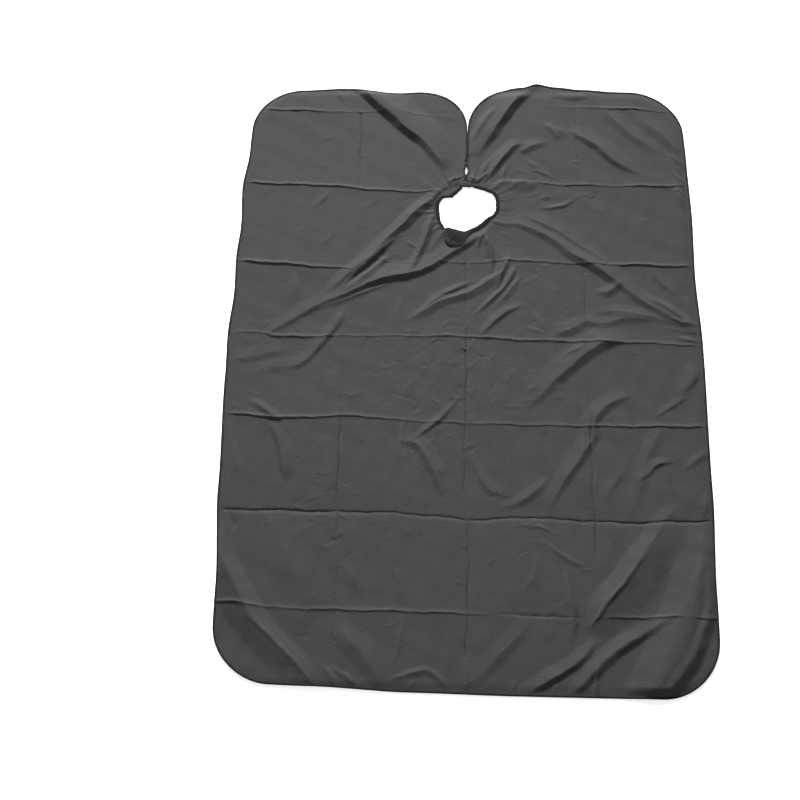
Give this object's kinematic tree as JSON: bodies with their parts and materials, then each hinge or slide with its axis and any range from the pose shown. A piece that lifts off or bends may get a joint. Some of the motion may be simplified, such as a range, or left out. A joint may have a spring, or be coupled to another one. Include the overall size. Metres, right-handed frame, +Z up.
{
  "type": "barber cape",
  "caption": "Rectangular hairdressing cape laid flat: bound taffeta panel with a back slit, a gathered elastic neckband and a hidden press stud that joins its ends.",
  "frame": {"origin": "centre of the cape's outline, on the surface it lies on", "axes": "+X to the right when seen from above with the slit at the top, +Y from the front hem towards the back slit, +Z up out of the cloth"},
  "size_m": [1, 1.4, 0.0053],
  "materials": {
    "taffeta": "coated plain weave, soft sheen",
    "binding_tape": "matte woven tape",
    "sewing_thread": "spun polyester thread",
    "elastic": "braided elastic",
    "snap_metal": "plated, satin"
  },
  "bodies": {
    "upper": {"upper_cloth": "taffeta", "upper_binding": "binding_tape", "upper_seam": "sewing_thread", "neckband": "taffeta", "neck_elastic": "elastic", "neckband_stitching": "sewing_thread", "snap_stud": "snap_metal", "stud_thread": "sewing_thread"},
    "lower": {"lower_cloth": "taffeta", "lower_binding": "binding_tape", "lower_seam": "sewing_thread"},
    "left_flap": {"left_flap_cloth": "taffeta", "left_flap_binding": "binding_tape", "left_flap_seam": "sewing_thread"},
    "right_flap": {"right_flap_cloth": "taffeta", "right_flap_binding": "binding_tape", "right_flap_seam": "sewing_thread", "neckband_right_end": "taffeta", "right_end_elastic": "elastic", "right_end_stitching": "sewing_thread"},
    "tab": {"neckband_tab": "taffeta", "snap_socket": "snap_metal", "snap_spring": "snap_metal", "socket_thread": "sewing_thread"}
  },
  "joints": [
    {"name": "front_fold", "type": "hinge", "parent": "upper", "child": "lower", "pos_m": [0, 0.042, 0.008], "axis": [-1, 0, 0], "range_deg": [0, 160]},
    {"name": "left_flap_fold", "type": "hinge", "parent": "upper", "child": "left_flap", "pos_m": [0, 0.458, 0.0014], "axis": [0.7071, -0.7071, 0], "range_deg": [0, 150]},
    {"name": "right_flap_fold", "type": "hinge", "parent": "upper", "child": "right_flap", "pos_m": [0, 0.37, 0.008], "axis": [0.6157, 0.788, 0], "range_deg": [0, 150]},
    {"name": "tab_lift", "type": "hinge", "parent": "right_flap", "child": "tab", "pos_m": [0.0201, 0.436, 0.0044], "axis": [0, 1, 0], "range_deg": [0, 45]}
  ]
}
